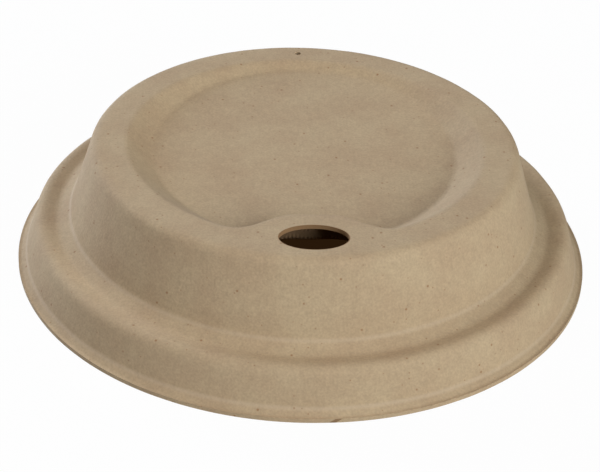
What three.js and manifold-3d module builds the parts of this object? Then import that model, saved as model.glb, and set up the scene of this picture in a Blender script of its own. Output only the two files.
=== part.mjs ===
// A moulded-fibre lid for a takeaway coffee cup, in millimetres with +Z up.
// The lid is one pressed sheet of paper pulp. It is described by its section, the line that the
// outer face follows from the axis out to the trimmed edge. That line changes with azimuth only
// in the recessed top: the recess floor falls towards the drinking hole, and the recess edge bends
// inwards round the hole. The inner face lies one wall thickness behind the outer face everywhere.
// The origin is on the lid's axis, at the level of the table that its brim rests on.

import * as THREE from "three";
import * as BufferGeometryUtils from "three/addons/utils/BufferGeometryUtils.js";
import Module from "manifold-3d";

// Sheet and cup
const WALL = 0.7; // thickness of the pressed pulp
const CUP_RIM_DIAMETER = 90; // outside of the rolled rim that the lid snaps over
const LEAD_IN = 0.35; // gap round the cup rim at the foot of the skirt, on the radius

// Brim and skirt
const BRIM_WIDTH = 0.5; // flat trimmed edge that the lid rests on
const LIP_RUN = 0.95; // flare between the brim and the skirt, outwards
const LIP_RISE = 0.85; // and upwards
const SKIRT_TAPER = 1.8; // how much the skirt narrows on its way up, on the radius
const SKIRT_RISE = 6.2;

// Shelf that sits on the cup rim, and the seal crease inside it
const SHELF_WIDTH = 3.55;
const CREASE_DEPTH = 0.55;
const BAND_WIDTH = 2.1; // sloping band between the crease and the foot of the dome
const BAND_RISE = 1.25;

// Dome wall and the ring that is drunk from
const DOME_TAPER = 3.75;
const DOME_RISE = 12.2;
const RING_WIDTH = 5.7; // flat ring round the recess

// Recess in the top
const RECESS_DEPTH = 3.2; // at the lid's axis
const FLOOR_FALL = THREE.MathUtils.degToRad(4); // slope of the floor down towards the drinking hole
const RECESS_WALL_ANGLE = THREE.MathUtils.degToRad(38);
const LEDGE_WALL_ANGLE = THREE.MathUtils.degToRad(80); // the wall is steeper in front of the hole
const LEDGE_REACH = 7; // how far the ring bends inwards to hold the hole
const LEDGE_HALF_ANGLE = THREE.MathUtils.degToRad(19.3);
const LEDGE_SQUARENESS = 4; // power that gives the bend its flat front and quick sides

// Holes
const SIP_WIDTH = 10.7; // across
const SIP_DEPTH = 6.85; // towards the middle
const SIP_FROM_RING_EDGE = 6; // from the dome's top corner to the middle of the hole
const VENT_DIAMETER = 1.1;
const VENT_FROM_RING_EDGE = 3.1;

// Length on each side of a corner that its rounding takes up
const BLEND = { floor: 1.8, recess: 1.0, ring: 1.4, foot: 0.9, crease: 0.7, shoulder: 1.6, skirt: 0.5, brim: 0.25 };

const LARGEST_SHARE = 0.48; // of a side's length, that a rounding may take where sides are short

// Fineness of the faceted solid
const CORNER_STEPS = 3;
const HOLE_STEPS = 14; // to each half of a hole's outline
const FINE_STEPS = 18; // across the ledge
const COARSE_STEPS = 42; // round the rest
const FINE_HALF_ANGLE = THREE.MathUtils.degToRad(30);

const SIP_AZIMUTH = -Math.PI / 2;

// Radii and heights of the section's corners, worked out from the cup rim upwards and inwards
const skirtFoot = new THREE.Vector2(CUP_RIM_DIAMETER / 2 + LEAD_IN + WALL, WALL + LIP_RISE);
const brimCorner = new THREE.Vector2(skirtFoot.x + LIP_RUN, WALL);
const brimEdge = new THREE.Vector2(brimCorner.x + BRIM_WIDTH, WALL);
const shoulder = new THREE.Vector2(skirtFoot.x - SKIRT_TAPER, skirtFoot.y + SKIRT_RISE);
const crease = new THREE.Vector2(shoulder.x - SHELF_WIDTH, shoulder.y - CREASE_DEPTH);
const domeFoot = new THREE.Vector2(crease.x - BAND_WIDTH, crease.y + BAND_RISE);
const ringEdge = new THREE.Vector2(domeFoot.x - DOME_TAPER, domeFoot.y + DOME_RISE);
const recessRadius = ringEdge.x - RING_WIDTH;
const floorHeight = ringEdge.y - RECESS_DEPTH;

/** 1 in front of the drinking hole, falling to 0 where the recess edge is round again. */
function ledgeShare(azimuth) {
  const turn = Math.atan2(Math.sin(azimuth - SIP_AZIMUTH), Math.cos(azimuth - SIP_AZIMUTH));
  return Math.exp(-((Math.abs(turn) / LEDGE_HALF_ANGLE) ** LEDGE_SQUARENESS));
}

/** Corners of the outer face at one azimuth, from the axis outwards, each with the rounding it gets. */
function cornersAt(azimuth) {
  const share = ledgeShare(azimuth);
  const edgeRadius = recessRadius - LEDGE_REACH * share;
  const wallSlope = Math.tan(THREE.MathUtils.lerp(RECESS_WALL_ANGLE, LEDGE_WALL_ANGLE, share));
  const floorSlope = Math.tan(FLOOR_FALL) * Math.cos(azimuth - SIP_AZIMUTH);
  // The sloping wall from the edge and the falling floor from the axis meet at the floor's corner.
  const footRadius = (edgeRadius * wallSlope - RECESS_DEPTH) / (wallSlope + floorSlope);
  const floorCorner = new THREE.Vector2(footRadius, floorHeight - floorSlope * footRadius);
  const recessEdge = new THREE.Vector2(edgeRadius, ringEdge.y);
  return [
    { at: floorCorner, blend: BLEND.floor },
    { at: recessEdge, blend: BLEND.recess },
    { at: ringEdge, blend: BLEND.ring },
    { at: domeFoot, blend: BLEND.foot },
    { at: crease, blend: BLEND.crease },
    { at: shoulder, blend: BLEND.shoulder },
    { at: skirtFoot, blend: BLEND.skirt },
    { at: brimCorner, blend: BLEND.brim },
  ];
}

/** The outer face's line at one azimuth, with every corner rounded: points, each with its direction. */
function sectionAt(azimuth) {
  const corners = cornersAt(azimuth);
  const axis = new THREE.Vector2(0, floorHeight);
  const stops = [axis, ...corners.map((corner) => corner.at), brimEdge];
  const line = [{ at: axis, along: new THREE.Vector2(1, 0) }];
  corners.forEach((corner, k) => {
    const before = stops[k];
    const after = stops[k + 2];
    const room = LARGEST_SHARE * Math.min(corner.at.distanceTo(before), corner.at.distanceTo(after));
    const length = Math.min(corner.blend, room);
    const start = corner.at.clone().add(before.clone().sub(corner.at).setLength(length));
    const end = corner.at.clone().add(after.clone().sub(corner.at).setLength(length));
    const round = new THREE.QuadraticBezierCurve(start, corner.at, end);
    for (let step = 0; step <= CORNER_STEPS; step += 1) {
      line.push({ at: round.getPoint(step / CORNER_STEPS), along: round.getTangent(step / CORNER_STEPS) });
    }
  });
  line.push({ at: brimEdge, along: new THREE.Vector2(1, 0) });
  return line;
}

/** Azimuths of the section's copies, closer together across the ledge. */
function azimuths() {
  const list = [];
  for (let k = 0; k < FINE_STEPS; k += 1) {
    list.push(SIP_AZIMUTH - FINE_HALF_ANGLE + (2 * FINE_HALF_ANGLE * k) / FINE_STEPS);
  }
  for (let k = 0; k < COARSE_STEPS; k += 1) {
    list.push(SIP_AZIMUTH + FINE_HALF_ANGLE + ((2 * Math.PI - 2 * FINE_HALF_ANGLE) * k) / COARSE_STEPS);
  }
  return list;
}

/** A radius and height turned to one azimuth. */
function turned(p, azimuth) {
  return new THREE.Vector3(p.x * Math.cos(azimuth), p.x * Math.sin(azimuth), p.y);
}

/** The outer face as columns of points with their directions outwards, one column for each azimuth. */
function outerFace() {
  return azimuths().map((azimuth) =>
    sectionAt(azimuth).map(({ at, along }) => ({ at: turned(at, azimuth), along: turned(along, azimuth) })),
  );
}

/** The inner face: every point of the outer one moved in by the wall, at right angles to the sheet. */
function innerFace(outer) {
  const columns = outer.length;
  return outer.map((column, i) =>
    column.map(({ at, along }, j) => {
      if (j === 0) return new THREE.Vector3(0, 0, at.z - WALL / Math.cos(FLOOR_FALL));
      const next = outer[(i + 1) % columns][j].at;
      const previous = outer[(i + columns - 1) % columns][j].at;
      const normal = along.clone().cross(next.clone().sub(previous)).normalize();
      return at.clone().addScaledVector(normal, -WALL);
    }),
  );
}

/** The closed sheet between the two faces. */
function sheetGeometry() {
  const columnsOfPoints = outerFace();
  const outer = columnsOfPoints.map((column) => column.map(({ at }) => at));
  const inner = innerFace(columnsOfPoints);
  const columns = outer.length;
  const rows = outer[0].length;
  const positions = [];
  for (const face of [outer, inner]) {
    for (const column of face) {
      for (const point of column) positions.push(point.x, point.y, point.z);
    }
  }
  const at = (side, i, j) => side * columns * rows + (i % columns) * rows + j;
  const index = [];
  const quad = (a, b, c, d) => index.push(a, b, c, a, c, d);
  for (let i = 0; i < columns; i += 1) {
    index.push(at(0, i, 0), at(0, i, 1), at(0, i + 1, 1));
    index.push(at(1, i, 0), at(1, i + 1, 1), at(1, i, 1));
    for (let j = 1; j < rows - 1; j += 1) {
      quad(at(0, i, j), at(0, i, j + 1), at(0, i + 1, j + 1), at(0, i + 1, j));
      quad(at(1, i, j), at(1, i + 1, j), at(1, i + 1, j + 1), at(1, i, j + 1));
    }
    quad(at(0, i, rows - 1), at(1, i, rows - 1), at(1, i + 1, rows - 1), at(0, i + 1, rows - 1));
  }
  const geometry = new THREE.BufferGeometry();
  geometry.setAttribute("position", new THREE.Float32BufferAttribute(positions, 3));
  geometry.setIndex(index);
  return BufferGeometryUtils.mergeVertices(geometry, 1e-4);
}

/** An upright cutter with an oval outline, tall enough to pass through the top. */
function ovalCutter(width, depth, radius, azimuth) {
  const outline = new THREE.Shape().absellipse(0, 0, width / 2, depth / 2, 0, 2 * Math.PI, false, 0);
  const height = 4 * WALL; // one wall above the ring, and two below its underside
  const settings = { depth: height, bevelEnabled: false, curveSegments: HOLE_STEPS };
  const geometry = new THREE.ExtrudeGeometry(outline, settings);
  geometry.deleteAttribute("normal");
  geometry.deleteAttribute("uv");
  geometry.rotateZ(azimuth - SIP_AZIMUTH);
  geometry.translate(radius * Math.cos(azimuth), radius * Math.sin(azimuth), ringEdge.y + WALL - height);
  return BufferGeometryUtils.mergeVertices(geometry, 1e-4);
}

const wasm = await Module();
wasm.setup();

function toSolid(geometry) {
  const vertProperties = new Float32Array(geometry.attributes.position.array);
  const triVerts = new Uint32Array(geometry.index.array);
  return new wasm.Manifold(new wasm.Mesh({ numProp: 3, vertProperties, triVerts }));
}

function toGeometry(solid) {
  const mesh = solid.getMesh();
  const geometry = new THREE.BufferGeometry();
  geometry.setAttribute("position", new THREE.BufferAttribute(new Float32Array(mesh.vertProperties), 3));
  geometry.setIndex(new THREE.BufferAttribute(new Uint32Array(mesh.triVerts), 1));
  geometry.computeVertexNormals();
  return geometry;
}

const sipHole = ovalCutter(SIP_WIDTH, SIP_DEPTH, ringEdge.x - SIP_FROM_RING_EDGE, SIP_AZIMUTH);
const ventRadius = ringEdge.x - VENT_FROM_RING_EDGE;
const ventHole = ovalCutter(VENT_DIAMETER, VENT_DIAMETER, ventRadius, SIP_AZIMUTH + Math.PI);
const sheet = toSolid(sheetGeometry()).subtract(toSolid(sipHole)).subtract(toSolid(ventHole));

const pulp = new THREE.MeshStandardMaterial({ color: 0xb29b7e, roughness: 0.9, metalness: 0 });
const lidShell = new THREE.Mesh(toGeometry(sheet), pulp);
lidShell.name = "lid_shell";

const coffeeCupLid = new THREE.Group();
coffeeCupLid.add(lidShell);

export default coffeeCupLid;
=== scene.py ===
import math

import bmesh
import bpy
from mathutils import Matrix, Vector


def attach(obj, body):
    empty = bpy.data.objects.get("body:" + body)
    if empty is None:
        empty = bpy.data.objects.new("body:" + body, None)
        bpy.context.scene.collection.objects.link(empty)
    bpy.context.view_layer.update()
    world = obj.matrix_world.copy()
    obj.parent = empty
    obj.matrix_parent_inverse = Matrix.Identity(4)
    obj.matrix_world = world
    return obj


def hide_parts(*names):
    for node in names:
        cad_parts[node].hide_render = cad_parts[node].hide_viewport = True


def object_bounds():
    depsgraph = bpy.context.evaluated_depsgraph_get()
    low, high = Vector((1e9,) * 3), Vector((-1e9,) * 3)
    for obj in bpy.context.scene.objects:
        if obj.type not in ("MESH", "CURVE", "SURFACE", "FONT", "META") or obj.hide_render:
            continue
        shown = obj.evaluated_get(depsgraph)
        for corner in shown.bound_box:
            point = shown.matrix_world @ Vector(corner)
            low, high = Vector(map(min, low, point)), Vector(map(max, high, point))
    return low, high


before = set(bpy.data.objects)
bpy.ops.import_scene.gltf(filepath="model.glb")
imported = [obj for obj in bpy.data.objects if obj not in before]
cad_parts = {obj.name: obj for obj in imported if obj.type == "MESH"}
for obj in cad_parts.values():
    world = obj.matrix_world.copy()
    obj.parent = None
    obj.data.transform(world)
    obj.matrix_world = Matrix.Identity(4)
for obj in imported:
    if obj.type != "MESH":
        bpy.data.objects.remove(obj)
CAD_LOW, CAD_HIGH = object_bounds()

bl_info = {
    "name": "Moulded fibre coffee cup lid",
    "version": (1, 0, 0),
    "blender": (4, 5, 0),
    "location": "3D View > Sidebar > Cup Lid",
    "description": "Builds a moulded-fibre lid for a takeaway coffee cup, and a plain studio to see it in",
    "category": "Object",
}

MM = 0.001
NODE = "lid_shell"
PIECE = "LidShell"

# The photograph's camera: where it stands and aims, in metres, and its lens.
CAMERA_DISTANCE = 305.6 * MM
CAMERA_ELEVATION = math.radians(33.07)
CAMERA_AZIMUTH = math.radians(-93.75)
CAMERA_ROLL = math.radians(2.42)
CAMERA_AIM_RIGHT = -0.28 * MM
CAMERA_AIM_HEIGHT = 2.28 * MM
CAMERA_FOCAL_PX = 1797.8
PHOTO_WIDTH_PX = 600
SENSOR_WIDTH_MM = 36.0

# The studio, in metres.
FLOOR_SIDE = 3.0
LIGHT_DISTANCE = 0.95
LIGHT_AIM_HEIGHT = 10 * MM
SOFTBOX_SIDE = 0.45
GLOOM_MARGIN = 1 * MM  # how far inside the brim the gloom under the lid ends

# Each light's degrees round from the camera's right, its degrees up from the floor, and its tint.
LIGHTS = {
    "key": (-45, 22, (0.96, 0.98, 1.0)),
    "fill": (135, 18, (0.74, 0.84, 1.0)),
    "top": (180, 62, (1.0, 0.95, 0.95)),
}


def linear(hex_colour):
    """The linear RGBA of an sRGB hex colour."""
    channels = [int(hex_colour[k : k + 2], 16) / 255 for k in (1, 3, 5)]
    return [c / 12.92 if c <= 0.04045 else ((c + 0.055) / 1.055) ** 2.4 for c in channels] + [1.0]


def mm_property(name, default, description):
    """A length that the panel shows in the scene's unit, given here in millimetres."""
    return bpy.props.FloatProperty(
        name=name, description=description, default=float(default * MM), min=0.0, unit="LENGTH", precision=5
    )


def angle_property(name, default, description):
    return bpy.props.FloatProperty(
        name=name, description=description, default=math.radians(default), subtype="ANGLE"
    )


def colour_property(name, default, description):
    return bpy.props.FloatVectorProperty(
        name=name, description=description, default=linear(default), size=4, subtype="COLOR", min=0, max=1
    )


def watt_property(name, default, description):
    return bpy.props.FloatProperty(name=name, description=description, default=default, unit="POWER")


class LidSizes(bpy.types.PropertyGroup):
    """Sizes of the lid. The brim's radius and the ring's height come from the frame."""

    brim_radius: mm_property("Brim Radius", CAD_HIGH[1] / MM, "Axis to the trimmed edge")
    ring_height: mm_property("Ring Height", CAD_HIGH[2] / MM, "Table to the top of the ring")
    wall: mm_property("Wall", 0.7, "Thickness of the pressed pulp")
    brim_width: mm_property("Brim Width", 0.5, "Flat edge that the lid rests on")
    lip_run: mm_property("Lip Run", 0.95, "Flare between brim and skirt, outwards")
    lip_rise: mm_property("Lip Rise", 0.85, "Flare between brim and skirt, upwards")
    skirt_taper: mm_property("Skirt Taper", 1.8, "How much the skirt narrows on its way up")
    skirt_rise: mm_property("Skirt Rise", 6.2, "Height of the skirt")
    shelf_width: mm_property("Shelf Width", 3.55, "Shoulder to crease")
    crease_depth: mm_property("Crease Depth", 0.55, "Drop from shoulder to crease")
    band_width: mm_property("Band Width", 2.1, "Crease to the foot of the dome")
    band_rise: mm_property("Band Rise", 1.25, "Rise from the crease to the foot of the dome")
    dome_taper: mm_property("Dome Taper", 3.75, "How much the dome narrows on its way up")
    ring_width: mm_property("Ring Width", 5.7, "Flat ring round the recess")
    recess_depth: mm_property("Recess Depth", 3.2, "Depth of the recess at the axis")
    floor_fall: angle_property("Floor Fall", 4, "Slope of the recess floor towards the drinking hole")
    recess_wall: angle_property("Recess Wall", 38, "Slope of the recess wall")
    ledge_wall: angle_property("Ledge Wall", 80, "Slope of the recess wall in front of the hole")
    ledge_reach: mm_property("Ledge Reach", 7, "How far the ring bends inwards to hold the hole")
    ledge_half_angle: angle_property("Ledge Half Angle", 19.3, "Half of the ledge's spread round the axis")
    sip_width: mm_property("Drinking Hole Width", 10.7, "Across")
    sip_depth: mm_property("Drinking Hole Depth", 6.85, "Towards the middle")
    sip_inset: mm_property("Drinking Hole Inset", 6, "From the dome's top corner to the hole's middle")
    vent_diameter: mm_property("Vent Diameter", 1.1, "Opposite the drinking hole")
    vent_inset: mm_property("Vent Inset", 3.1, "From the dome's top corner to the vent's middle")
    warp: mm_property("Warp", 0.12, "Height of the broad unevenness left by drying")
    warp_size: mm_property("Warp Size", 14, "Width of the broad unevenness")
    pucker: mm_property("Pucker", 0.04, "Height of the fine unevenness")
    pucker_size: mm_property("Pucker Size", 2.6, "Width of the fine unevenness")


class PulpLooks(bpy.types.PropertyGroup):
    """Colours of the pulp."""

    fibre: colour_property("Fibre", "#b6a181", "Unbleached plant fibre on the pressed faces")
    fibre_dark: colour_property("Fibre Shade", "#b0997a", "Thin places and fibre bundles")
    # Painted highlight: this pale colour, laid along the folds at the feet of the skirt and the dome, stands
    # in for light.
    fold_highlight: colour_property("Fold Highlight", "#c6b297", "Places that the mould has burnished")
    fibre_drained: colour_property("Screen Side", "#a1825f", "Rough fibre that lay on the screen")
    # Partly painted shade: besides the torn fibre, this darker colour stands in for the shade on the punched
    # faces.
    cut_fibre_and_shade: colour_property("Cut Edge", "#8f6f4c", "Torn inside of the sheet, in the punched hole")
    fleck: colour_property("Fleck", "#86592f", "Bark and husk specks in the pulp")


class StageLooks(bpy.types.PropertyGroup):
    """The studio round the lid."""

    floor: colour_property("Floor", "#dadada", "Plain paper floor")
    # Painted shade: the colour of a dim glow on the floor under the lid, which stands in for the shade
    # there.
    painted_shade_under_lid: colour_property("Under The Lid", "#27180a", "Brown gloom that the drinking hole shows")
    whiteness: bpy.props.FloatProperty(
        name="Whiteness",
        description="Share of plain white in what the camera sees of the floor",
        default=0.97,
    )
    key_watts: watt_property("Key", 7.8, "Main light, low on the right in front")
    fill_watts: watt_property("Fill", 8.1, "Cooler light, low on the left behind")
    top_watts: watt_property("Top", 4.0, "High light on the left")
    sky: bpy.props.FloatProperty(name="Surround", description="Even light of the room", default=0.02)


# Modelling

AROUND = 288  # steps round the lid
ROUND_STEPS = 5  # faces across each rounded corner
STRETCH_STEPS = (1, 2, 8, 5, 3, 14, 8, 4)  # faces along each straight stretch, from the brim inwards
FLOOR_STEPS = 24  # faces from the foot of the recess wall to the axis
HOLE_STEPS = 96  # sides of each cut hole
LARGEST_SHARE = 0.48  # of a side's length, that a rounding may take where sides are short
JOIN_DISTANCE = 0.0001 * MM
CUTTER_HEIGHT = 5 * MM
SMOOTH_ANGLE = math.radians(50)  # between two faces, past which their edge stays sharp
RELIEF_DETAIL = 2
SIP_AZIMUTH = -math.pi / 2
VENT_AZIMUTH = math.pi / 2
LEDGE_SQUARENESS = 4  # power that gives the ledge its flat front and quick sides

# How far each rounding reaches from its corner, along the section.
BRIM_ROUNDING = 0.25 * MM
SKIRT_FOOT_ROUNDING = 0.5 * MM
SHOULDER_ROUNDING = 1.6 * MM
CREASE_ROUNDING = 0.7 * MM
DOME_FOOT_ROUNDING = 0.9 * MM
RING_ROUNDING = 1.4 * MM
RECESS_EDGE_ROUNDING = 0.7 * MM
RECESS_FOOT_ROUNDING = 0.7 * MM


def deselect_all():
    if bpy.context.object and bpy.context.object.mode != "OBJECT":
        bpy.ops.object.mode_set(mode="OBJECT")
    bpy.ops.object.select_all(action="DESELECT")


def activate(obj):
    deselect_all()
    obj.select_set(True)
    bpy.context.view_layer.objects.active = obj


def apply_modifier(obj, kind, **settings):
    activate(obj)
    modifier = obj.modifiers.new(kind.title(), kind)
    for name, value in settings.items():
        setattr(modifier, name, value)
    bpy.ops.object.modifier_apply(modifier=modifier.name)


def azimuth_of(point):
    return math.atan2(point[1], point[0])


class Section:
    """The line that the lid's outer face follows, from the trimmed edge in to the axis."""

    def __init__(self, sizes):
        self.sizes = sizes
        self.brim_edge = Vector((sizes.brim_radius, sizes.wall))
        self.brim_corner = self.brim_edge - Vector((sizes.brim_width, 0))
        self.skirt_foot = self.brim_corner + Vector((-sizes.lip_run, sizes.lip_rise))
        self.shoulder = self.skirt_foot + Vector((-sizes.skirt_taper, sizes.skirt_rise))
        self.crease = self.shoulder - Vector((sizes.shelf_width, sizes.crease_depth))
        self.dome_foot = self.crease + Vector((-sizes.band_width, sizes.band_rise))
        self.ring_edge = Vector((self.dome_foot.x - sizes.dome_taper, sizes.ring_height))
        self.axis = Vector((0, sizes.ring_height - sizes.recess_depth))

    def ledge_share(self, azimuth):
        """1 in front of the drinking hole, falling to 0 where the recess edge is round again."""
        turn = math.remainder(azimuth - SIP_AZIMUTH, 2 * math.pi)
        return math.exp(-((abs(turn) / self.sizes.ledge_half_angle) ** LEDGE_SQUARENESS))

    def recess_edge(self, azimuth):
        reach = self.sizes.ledge_reach * self.ledge_share(azimuth)
        return Vector((self.ring_edge.x - self.sizes.ring_width - reach, self.ring_edge.y))

    def floor_corner(self, azimuth):
        """Where the sloping recess wall meets the falling floor."""
        steepening = self.sizes.ledge_wall - self.sizes.recess_wall
        wall_slope = math.tan(self.sizes.recess_wall + steepening * self.ledge_share(azimuth))
        floor_slope = math.tan(self.sizes.floor_fall) * math.cos(azimuth - SIP_AZIMUTH)
        radius = self.recess_edge(azimuth).x * wall_slope - self.sizes.recess_depth
        radius /= wall_slope + floor_slope
        return Vector((radius, self.axis.y - floor_slope * radius))

    def corners(self, azimuth):
        """The corners at one azimuth, from the brim inwards, each with the length of its rounding."""
        sharp = [
            (self.brim_corner, BRIM_ROUNDING),
            (self.skirt_foot, SKIRT_FOOT_ROUNDING),
            (self.shoulder, SHOULDER_ROUNDING),
            (self.crease, CREASE_ROUNDING),
            (self.dome_foot, DOME_FOOT_ROUNDING),
            (self.ring_edge, RING_ROUNDING),
            (self.recess_edge(azimuth), RECESS_EDGE_ROUNDING),
            (self.floor_corner(azimuth), RECESS_FOOT_ROUNDING),
        ]
        stops = [self.brim_edge, *[corner for corner, blend in sharp], self.axis]
        rounded = []
        for k, (corner, blend) in enumerate(sharp):
            shorter = min((stops[k] - corner).length, (stops[k + 2] - corner).length)
            rounded.append((corner, min(blend, LARGEST_SHARE * shorter)))
        return rounded

    def points(self, azimuth):
        """The rounded line at one azimuth, after the brim's edge and before the axis."""
        corners = self.corners(azimuth)
        line = []
        end = self.brim_edge
        for k, (corner, blend) in enumerate(corners):
            before = self.brim_edge if k == 0 else corners[k - 1][0]
            after = self.axis if k == len(corners) - 1 else corners[k + 1][0]
            start = corner + (before - corner).normalized() * blend
            line += [end.lerp(start, (step + 1) / STRETCH_STEPS[k]) for step in range(STRETCH_STEPS[k] - 1)]
            end = corner + (after - corner).normalized() * blend
            for step in range(ROUND_STEPS + 1):
                t = step / ROUND_STEPS
                line.append(start.lerp(corner, t).lerp(corner.lerp(end, t), t))
        return line + [end.lerp(self.axis, (step + 1) / FLOOR_STEPS) for step in range(FLOOR_STEPS - 1)]


def extrude_outer_face(obj, section):
    """Extrudes the brim's edge loop inwards along the section, and closes the floor at the axis."""
    columns = {}
    activate(obj)
    bpy.ops.object.mode_set(mode="EDIT")
    bpy.ops.mesh.select_mode(type="VERT")
    bpy.ops.mesh.select_all(action="SELECT")
    for k in range(len(section.points(0))):
        bpy.ops.mesh.extrude_edges_move()
        mesh = bmesh.from_edit_mesh(obj.data)
        for vertex in mesh.verts:
            if vertex.select:
                azimuth = round(azimuth_of(vertex.co), 5)
                if azimuth not in columns:
                    columns[azimuth] = section.points(azimuth)
                point = columns[azimuth][k]
                vertex.co = (point.x * math.cos(azimuth), point.x * math.sin(azimuth), point.y)
        bmesh.update_edit_mesh(obj.data)
    bpy.ops.mesh.extrude_edges_move()
    bpy.ops.transform.resize(value=(0, 0, 0), center_override=(0, 0, section.axis.y))
    bpy.ops.mesh.remove_doubles(threshold=JOIN_DISTANCE)
    bpy.ops.mesh.select_all(action="SELECT")
    bpy.ops.mesh.normals_make_consistent(inside=False)
    bpy.ops.object.mode_set(mode="OBJECT")


def press_relief(obj, sizes):
    """The slight unevenness of a sheet that shrank as it dried."""
    for name, size, height in (
        ("Warp", sizes.warp_size, sizes.warp),
        ("Pucker", sizes.pucker_size, sizes.pucker),
    ):
        texture = bpy.data.textures.new(name, "CLOUDS")
        texture.noise_scale = size
        texture.noise_depth = RELIEF_DETAIL
        relief = {"texture": texture, "texture_coords": "LOCAL", "strength": height, "mid_level": 0.5}
        apply_modifier(obj, "DISPLACE", **relief)


def cut_oval(obj, width, depth, radius, azimuth, top):
    """Cuts an upright oval hole through the top."""
    deselect_all()
    place = (radius * math.cos(azimuth), radius * math.sin(azimuth), top)
    bpy.ops.mesh.primitive_cylinder_add(vertices=HOLE_STEPS, radius=0.5, depth=1, location=place)
    cutter = bpy.context.object
    cutter.scale = (width, depth, CUTTER_HEIGHT)
    bpy.ops.object.transform_apply(location=True, rotation=True, scale=True)
    apply_modifier(obj, "BOOLEAN", object=cutter, operation="DIFFERENCE", solver="EXACT")
    bpy.data.objects.remove(cutter)


# Material

MOTTLE_WIDTH = 7 * MM
MOTTLE_RANGE = (0.35, 0.68)  # noise values that give the plain and the shaded fibre
CLUMP_WIDTH = 1.1 * MM
GRAIN_WIDTH = 0.35 * MM  # coarser than single fibres, which are too fine to show
STREAK_WIDTH = 0.55 * MM
STREAK_LENGTH = 3.5 * MM
STREAK_RADIUS = 42 * MM  # between the skirt's and the dome's, where a streak has its real width
NOISE_RANGE = (0.3, 0.7)  # noise values that nearly all of a pattern lies between
CLUMP_SWING = 0.04  # change of tone, up and down
STREAK_SWING = 0.015
GRAIN_SWING = 0.08
WAVE_PITCH = 2 * math.pi / 20  # of a Wave texture at a scale of 1
WIRE_PITCH = 0.6 * MM  # of the draining screen
WIRE_WANDER = 0.6
UNDERSIDE_TILT = -0.02  # upward part of the normal, below which a face belongs to the screen side
PRINT_SHADE = 0.72  # tone between the wires' prints
PRINT_ON_TOP = 0.1  # strength of the wires' relief on the pressed side
PRINT_BENEATH = 0.9  # and on the screen side
PRINT_HEIGHT = 0.1 * MM
GRAIN_STRENGTH = 0.5
GRAIN_HEIGHT = 0.05 * MM
STREAK_STRENGTH = 0.15
STREAK_HEIGHT = 0.06 * MM
HIGHLIGHT_LINE = 0.6 * MM  # half width of the painted highlight line in a sharp inner corner
HIGHLIGHT_LINE_SHARE = 0.36  # of the painted highlight's pale colour, at the middle of the line
MATT = 0.88  # roughness of the sheet
BURNISHED = 0.5  # roughness that a full share of the painted highlight would have
PULP_IOR = 1.5
PULP_SPECULAR = 0.35  # low, because the sheet is full of pores
CUT_REACH = 1.02  # of the drinking hole's own size, which its punched faces lie within

# Each kind of husk fleck: width of a cell, share of cells that hold a fleck, its radius, its strength.
FLECKS = ((1.7 * MM, 0.22, 0.2 * MM, 0.65), (1.0 * MM, 0.2, 0.13 * MM, 0.5))
FLECK_CORE = 0.6  # of the radius, within which a fleck is at full strength
FLECK_FADE = 1.3  # of the radius, where it has faded out


def node(tree, kind, inputs=None, **settings):
    """Adds a node with its settings; each input is given as a value or as the socket that feeds it."""
    new = tree.nodes.new(kind)
    for name, value in settings.items():
        setattr(new, name, value)
    for name, value in (inputs or {}).items():
        if isinstance(value, bpy.types.NodeSocket):
            tree.links.new(value, new.inputs[name])
        else:
            new.inputs[name].default_value = value
    return new


def ring_mask(tree, radius, height, at, width):
    """1 on the circle at (radius, height) of the section, falling to 0 over width on both sides of it."""
    across = node(tree, "ShaderNodeMath", {0: radius, 1: at.x}, operation="SUBTRACT").outputs[0]
    up = node(tree, "ShaderNodeMath", {0: height, 1: at.y}, operation="SUBTRACT").outputs[0]
    offset = node(tree, "ShaderNodeCombineXYZ", {0: across, 1: up, 2: 0.0}).outputs[0]
    distance = node(tree, "ShaderNodeVectorMath", {0: offset}, operation="LENGTH").outputs["Value"]
    fall = {"Value": distance, "From Min": 0.0, "From Max": width, "To Min": 1.0, "To Max": 0.0}
    return node(tree, "ShaderNodeMapRange", fall, interpolation_type="SMOOTHSTEP").outputs[0]


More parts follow.
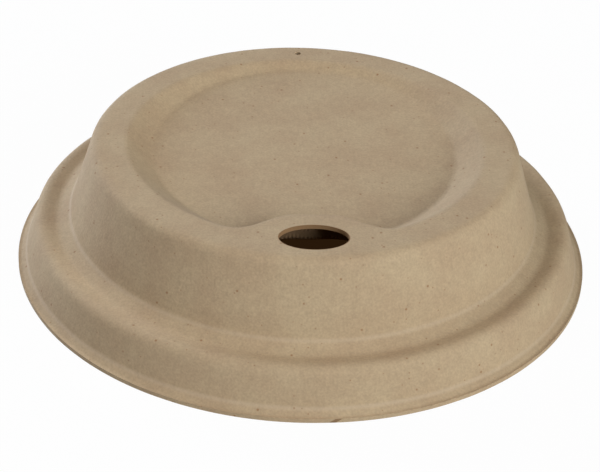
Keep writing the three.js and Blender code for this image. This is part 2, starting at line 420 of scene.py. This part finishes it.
def pulp_material(looks, section):
    """Unbleached bagasse pulp, drained on a wire screen and then pressed dry between hot moulds.

    Pressing leaves a matt, even sheet with soft mottling, a fine grain of short fibres, faint streaks
    along the draw of the walls, glossier folds, and a scatter of husk flecks. The folds also carry a
    painted highlight, a paler line that stands in for the light they catch. The side that lay on the
    screen is browner, with the print of the wires in it.
    """
    material = bpy.data.materials.new("MouldedBagassePulp")
    material.use_nodes = True
    tree = material.node_tree
    tree.nodes.clear()
    place = node(tree, "ShaderNodeTexCoord").outputs["Object"]
    part = node(tree, "ShaderNodeSeparateXYZ", {0: place})
    x, y, height = part.outputs
    flat = node(tree, "ShaderNodeCombineXYZ", {0: x, 1: y, 2: 0.0}).outputs[0]
    radius = node(tree, "ShaderNodeVectorMath", {0: flat}, operation="LENGTH").outputs["Value"]
    azimuth = node(tree, "ShaderNodeMath", {0: y, 1: x}, operation="ARCTAN2").outputs[0]

    # Patterns, each at its real size
    mottle, clumps, grain = (
        node(tree, "ShaderNodeTexNoise", {"Vector": place, "Scale": 1 / width, "Detail": detail}).outputs[0]
        for width, detail in ((MOTTLE_WIDTH, 3.0), (CLUMP_WIDTH, 4.0), (GRAIN_WIDTH, 2.0))
    )
    around, draw, outwards = (
        node(tree, "ShaderNodeMath", {0: value, 1: repeats}, operation="MULTIPLY").outputs[0]
        for value, repeats in (
            (azimuth, STREAK_RADIUS / STREAK_WIDTH),
            (height, 1 / STREAK_LENGTH),
            (radius, 1 / STREAK_LENGTH),
        )
    )
    drawn = node(tree, "ShaderNodeCombineXYZ", {0: around, 1: draw, 2: outwards}).outputs[0]
    streaks = node(tree, "ShaderNodeTexNoise", {"Vector": drawn, "Scale": 1.0, "Detail": 2.0}).outputs[0]
    wires = {"Vector": place, "Scale": WAVE_PITCH / WIRE_PITCH, "Distortion": WIRE_WANDER}
    weft, warp = (node(tree, "ShaderNodeTexWave", wires, bands_direction=way).outputs[1] for way in "XY")
    screen = node(tree, "ShaderNodeMath", {0: weft, 1: warp}, operation="MULTIPLY").outputs[0]
    facing = node(tree, "ShaderNodeNewGeometry").outputs["True Normal"]
    upward = node(tree, "ShaderNodeSeparateXYZ", {0: facing}).outputs[2]
    tilt = {0: upward, 1: UNDERSIDE_TILT}
    underside = node(tree, "ShaderNodeMath", tilt, operation="LESS_THAN").outputs[0]

    # Colour
    shade = {"Value": mottle, "From Min": MOTTLE_RANGE[0], "From Max": MOTTLE_RANGE[1]}
    shaded = node(tree, "ShaderNodeMapRange", shade).outputs[0]
    colour = node(
        tree,
        "ShaderNodeMix",
        {"Factor": shaded, 6: list(looks.fibre), 7: list(looks.fibre_dark)},
        data_type="RGBA",
    ).outputs[2]
    for pattern, swing in ((clumps, CLUMP_SWING), (streaks, STREAK_SWING), (grain, GRAIN_SWING)):
        spread = {"Value": pattern, "From Min": NOISE_RANGE[0], "From Max": NOISE_RANGE[1]}
        spread.update({"To Min": 1 - swing, "To Max": 1 + swing})
        tone = node(tree, "ShaderNodeMapRange", spread).outputs[0]
        colour = node(tree, "ShaderNodeVectorMath", {0: colour, "Scale": tone}, operation="SCALE").outputs[0]

    # The mould's sharp inner corners press the sheet hardest and leave it glossier there.
    # Painted highlight: a paler line along these folds stands in for the light that they catch.
    folds = (section.skirt_foot, section.dome_foot)
    lines = [ring_mask(tree, radius, height, fold, HIGHLIGHT_LINE) for fold in folds]
    line = node(tree, "ShaderNodeMath", {0: lines[0], 1: lines[1]}, operation="MAXIMUM").outputs[0]
    line = node(tree, "ShaderNodeMath", {0: line, 1: HIGHLIGHT_LINE_SHARE}, operation="MULTIPLY").outputs[0]
    colour = node(
        tree, "ShaderNodeMix", {"Factor": line, 6: colour, 7: list(looks.fold_highlight)}, data_type="RGBA"
    ).outputs[2]

    # The side that drains through the wire screen stays browner, with the screen's print in it.
    printed = {"Value": screen, "To Min": PRINT_SHADE, "To Max": 1.0}
    shaded = node(tree, "ShaderNodeMapRange", printed).outputs[0]
    drained = {0: list(looks.fibre_drained)[:3], "Scale": shaded}
    drained = node(tree, "ShaderNodeVectorMath", drained, operation="SCALE").outputs[0]
    colour = node(
        tree, "ShaderNodeMix", {"Factor": underside, 6: colour, 7: drained}, data_type="RGBA"
    ).outputs[2]

    # Husk flecks: one cell in a few holds a fleck, up to half a millimetre across.
    for cell, share, size, strength in FLECKS:
        cells = node(tree, "ShaderNodeTexVoronoi", {"Vector": place, "Scale": 1 / cell})
        spot = {"Value": cells.outputs["Distance"], "To Min": 1.0, "To Max": 0.0}
        spot.update({"From Min": FLECK_CORE * size / cell, "From Max": FLECK_FADE * size / cell})
        near = node(tree, "ShaderNodeMapRange", spot).outputs[0]
        chance = node(tree, "ShaderNodeSeparateColor", {0: cells.outputs["Color"]}).outputs[0]
        chosen = node(tree, "ShaderNodeMath", {0: chance, 1: share}, operation="LESS_THAN").outputs[0]
        fleck = node(tree, "ShaderNodeMath", {0: near, 1: chosen}, operation="MULTIPLY").outputs[0]
        fleck = node(tree, "ShaderNodeMath", {0: fleck, 1: strength}, operation="MULTIPLY").outputs[0]
        colour = node(
            tree, "ShaderNodeMix", {"Factor": fleck, 6: colour, 7: list(looks.fleck)}, data_type="RGBA"
        ).outputs[2]

    # The punched faces of the drinking hole show the torn inside of the sheet.
    # Their darker colour is partly painted shade, for the shade that they lie in.
    sizes = section.sizes
    inset = section.ring_edge.x - sizes.sip_inset
    shrink = (2 / sizes.sip_width, 2 / sizes.sip_depth, 0)
    moved = {0: place, 1: shrink, 2: (0, inset * 2 / sizes.sip_depth, 0)}
    oval = node(tree, "ShaderNodeVectorMath", moved, operation="MULTIPLY_ADD").outputs[0]
    reach = node(tree, "ShaderNodeVectorMath", {0: oval}, operation="LENGTH").outputs["Value"]
    cut = node(tree, "ShaderNodeMath", {0: reach, 1: CUT_REACH}, operation="LESS_THAN").outputs[0]
    colour = node(
        tree, "ShaderNodeMix", {"Factor": cut, 6: colour, 7: list(looks.cut_fibre_and_shade)}, data_type="RGBA"
    ).outputs[2]

    # Relief
    fine = node(tree, "ShaderNodeMath", {0: grain, 1: clumps}, operation="ADD").outputs[0]
    grainy = {"Height": fine, "Strength": GRAIN_STRENGTH, "Distance": GRAIN_HEIGHT}
    normal = node(tree, "ShaderNodeBump", grainy).outputs[0]
    streaky = {"Height": streaks, "Strength": STREAK_STRENGTH, "Distance": STREAK_HEIGHT, "Normal": normal}
    normal = node(tree, "ShaderNodeBump", streaky).outputs[0]
    prints = {"Value": underside, "To Min": PRINT_ON_TOP, "To Max": PRINT_BENEATH}
    pressed = node(tree, "ShaderNodeMapRange", prints).outputs[0]
    wired = {"Height": screen, "Strength": pressed, "Distance": PRINT_HEIGHT, "Normal": normal}
    normal = node(tree, "ShaderNodeBump", wired).outputs[0]
    gloss = {"Value": line, "To Min": MATT, "To Max": BURNISHED}
    roughness = node(tree, "ShaderNodeMapRange", gloss).outputs[0]

    surface = {"Base Color": colour, "Roughness": roughness, "IOR": PULP_IOR, "Normal": normal}
    surface["Specular IOR Level"] = PULP_SPECULAR
    shader = node(tree, "ShaderNodeBsdfPrincipled", surface)
    node(tree, "ShaderNodeOutputMaterial", {"Surface": shader.outputs[0]})
    return material


# Operators


class CUPLID_OT_shell(bpy.types.Operator):
    """Model the lid: one pressed sheet with its recess, ledge, drinking hole and vent"""

    bl_idname = "cuplid.shell"
    bl_label = "Lid Shell"

    def execute(self, context):
        sizes = context.scene.cuplid_sizes
        section = Section(sizes)
        deselect_all()
        bpy.ops.mesh.primitive_circle_add(
            vertices=AROUND,
            radius=section.brim_edge.x,
            fill_type="NOTHING",
            location=(0, 0, section.brim_edge.y),
        )
        lid = context.object
        lid.name = lid.data.name = PIECE
        bpy.ops.object.transform_apply(location=True, rotation=True, scale=True)
        extrude_outer_face(lid, section)
        press_relief(lid, sizes)
        apply_modifier(lid, "SOLIDIFY", thickness=sizes.wall, offset=-1.0)
        ring = section.ring_edge
        cut_oval(lid, sizes.sip_width, sizes.sip_depth, ring.x - sizes.sip_inset, SIP_AZIMUTH, ring.y)
        vent = sizes.vent_diameter
        cut_oval(lid, vent, vent, ring.x - sizes.vent_inset, VENT_AZIMUTH, ring.y)
        activate(lid)
        bpy.ops.object.shade_smooth_by_angle(angle=SMOOTH_ANGLE)
        lid.data.materials.clear()
        lid.data.materials.append(pulp_material(context.scene.cuplid_pulp, section))
        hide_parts(NODE)
        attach(lid, "root")
        return {"FINISHED"}


def stand(distance, azimuth, elevation):
    """The place at this distance and in this direction from the origin."""
    flat = distance * math.cos(elevation)
    return Vector((flat * math.cos(azimuth), flat * math.sin(azimuth), distance * math.sin(elevation)))


def aim(obj, target, roll=0.0):
    """Turns a camera or light to face the target."""
    facing = (target - obj.location).to_track_quat("-Z", "Y").to_matrix().to_4x4()
    turn = Matrix.Rotation(roll, 4, "Z")
    obj.matrix_world = Matrix.Translation(obj.location) @ facing @ turn


def add_light(name, azimuth, elevation, watts, tint):
    """A square softbox that faces the lid. Azimuth is measured from the camera's right."""
    turn = CAMERA_AZIMUTH + math.pi / 2 + azimuth
    bpy.ops.object.light_add(type="AREA", location=stand(LIGHT_DISTANCE, turn, elevation))
    light = bpy.context.object
    light.name = name
    light.data.size = SOFTBOX_SIDE
    light.data.energy = watts
    light.data.color = tint
    aim(light, Vector((0, 0, LIGHT_AIM_HEIGHT)))


def floor_material(looks, gloom_radius):
    """Plain matt paper, which the camera sees almost white, and painted shade under the lid."""
    material = bpy.data.materials.new("StudioPaper")
    material.use_nodes = True
    tree = material.node_tree
    tree.nodes.clear()
    place = node(tree, "ShaderNodeTexCoord").outputs["Object"]
    distance = node(tree, "ShaderNodeVectorMath", {0: place}, operation="LENGTH").outputs["Value"]
    reach = {0: distance, 1: gloom_radius}
    outside = node(tree, "ShaderNodeMath", reach, operation="GREATER_THAN").outputs[0]
    seen = node(tree, "ShaderNodeLightPath").outputs["Is Camera Ray"]
    share = node(tree, "ShaderNodeMath", {0: seen, 1: looks.whiteness}, operation="MULTIPLY").outputs[0]
    paper = node(tree, "ShaderNodeBsdfDiffuse", {"Color": list(looks.floor)}).outputs[0]
    white = node(tree, "ShaderNodeEmission", {"Color": (1, 1, 1, 1), "Strength": 1.0}).outputs[0]
    bright = node(tree, "ShaderNodeMixShader", {0: share, 1: paper, 2: white}).outputs[0]
    # Painted shade: a dim brown glow under the lid stands in for the shade inside it.
    gloom = node(tree, "ShaderNodeEmission", {"Color": list(looks.painted_shade_under_lid), "Strength": 1.0}).outputs[0]
    surface = node(tree, "ShaderNodeMixShader", {0: outside, 1: gloom, 2: bright}).outputs[0]
    node(tree, "ShaderNodeOutputMaterial", {"Surface": surface})
    return material


class CUPLID_OT_stage(bpy.types.Operator):
    """Set the camera where the photograph's stood, with a white floor and soft studio light"""

    bl_idname = "cuplid.stage"
    bl_label = "Studio Stage"

    def execute(self, context):
        looks = context.scene.cuplid_stage
        deselect_all()
        bpy.ops.object.camera_add(location=stand(CAMERA_DISTANCE, CAMERA_AZIMUTH, CAMERA_ELEVATION))
        camera = context.object
        camera.data.sensor_width = SENSOR_WIDTH_MM
        camera.data.lens = CAMERA_FOCAL_PX / PHOTO_WIDTH_PX * SENSOR_WIDTH_MM
        right = Vector((-math.sin(CAMERA_AZIMUTH), math.cos(CAMERA_AZIMUTH), 0))
        aim(camera, right * CAMERA_AIM_RIGHT + Vector((0, 0, CAMERA_AIM_HEIGHT)), CAMERA_ROLL)
        context.scene.camera = camera

        bpy.ops.mesh.primitive_plane_add(size=FLOOR_SIDE)
        floor = context.object
        floor.name = "Floor"
        gloom_radius = context.scene.cuplid_sizes.brim_radius - GLOOM_MARGIN
        floor.data.materials.append(floor_material(looks, gloom_radius))

        for name, (azimuth, elevation, tint) in LIGHTS.items():
            watts = getattr(looks, name + "_watts")
            add_light(name.title(), math.radians(azimuth), math.radians(elevation), watts, tint)
        world = bpy.data.worlds.new("Room")
        context.scene.world = world
        world.use_nodes = True
        background = world.node_tree.nodes["Background"]
        background.inputs["Color"].default_value = (1, 1, 1, 1)
        background.inputs["Strength"].default_value = looks.sky
        context.scene.view_settings.view_transform = "Standard"
        return {"FINISHED"}


class CUPLID_PT_panel(bpy.types.Panel):
    """Sidebar panel with the lid's sizes, colours and buttons"""

    bl_label = "Cup Lid"
    bl_idname = "CUPLID_PT_panel"
    bl_space_type = "VIEW_3D"
    bl_region_type = "UI"
    bl_category = "Cup Lid"

    def draw(self, context):
        for operator, groups in (("shell", ("sizes", "pulp")), ("stage", ("stage",))):
            box = self.layout.box()
            for group in groups:
                settings = getattr(context.scene, "cuplid_" + group)
                for name in settings.bl_rna.properties.keys():
                    if name not in ("rna_type", "name"):
                        box.prop(settings, name)
            box.operator("cuplid." + operator)


CLASSES = (LidSizes, PulpLooks, StageLooks, CUPLID_OT_shell, CUPLID_OT_stage, CUPLID_PT_panel)


def register():
    for one in CLASSES:
        bpy.utils.register_class(one)
    bpy.types.Scene.cuplid_sizes = bpy.props.PointerProperty(type=LidSizes)
    bpy.types.Scene.cuplid_pulp = bpy.props.PointerProperty(type=PulpLooks)
    bpy.types.Scene.cuplid_stage = bpy.props.PointerProperty(type=StageLooks)


def unregister():
    for name in ("cuplid_sizes", "cuplid_pulp", "cuplid_stage"):
        delattr(bpy.types.Scene, name)
    for one in reversed(CLASSES):
        bpy.utils.unregister_class(one)


def main():
    register()
    bpy.ops.cuplid.stage()
    bpy.ops.cuplid.shell()


if __name__ == "__main__":
    main()
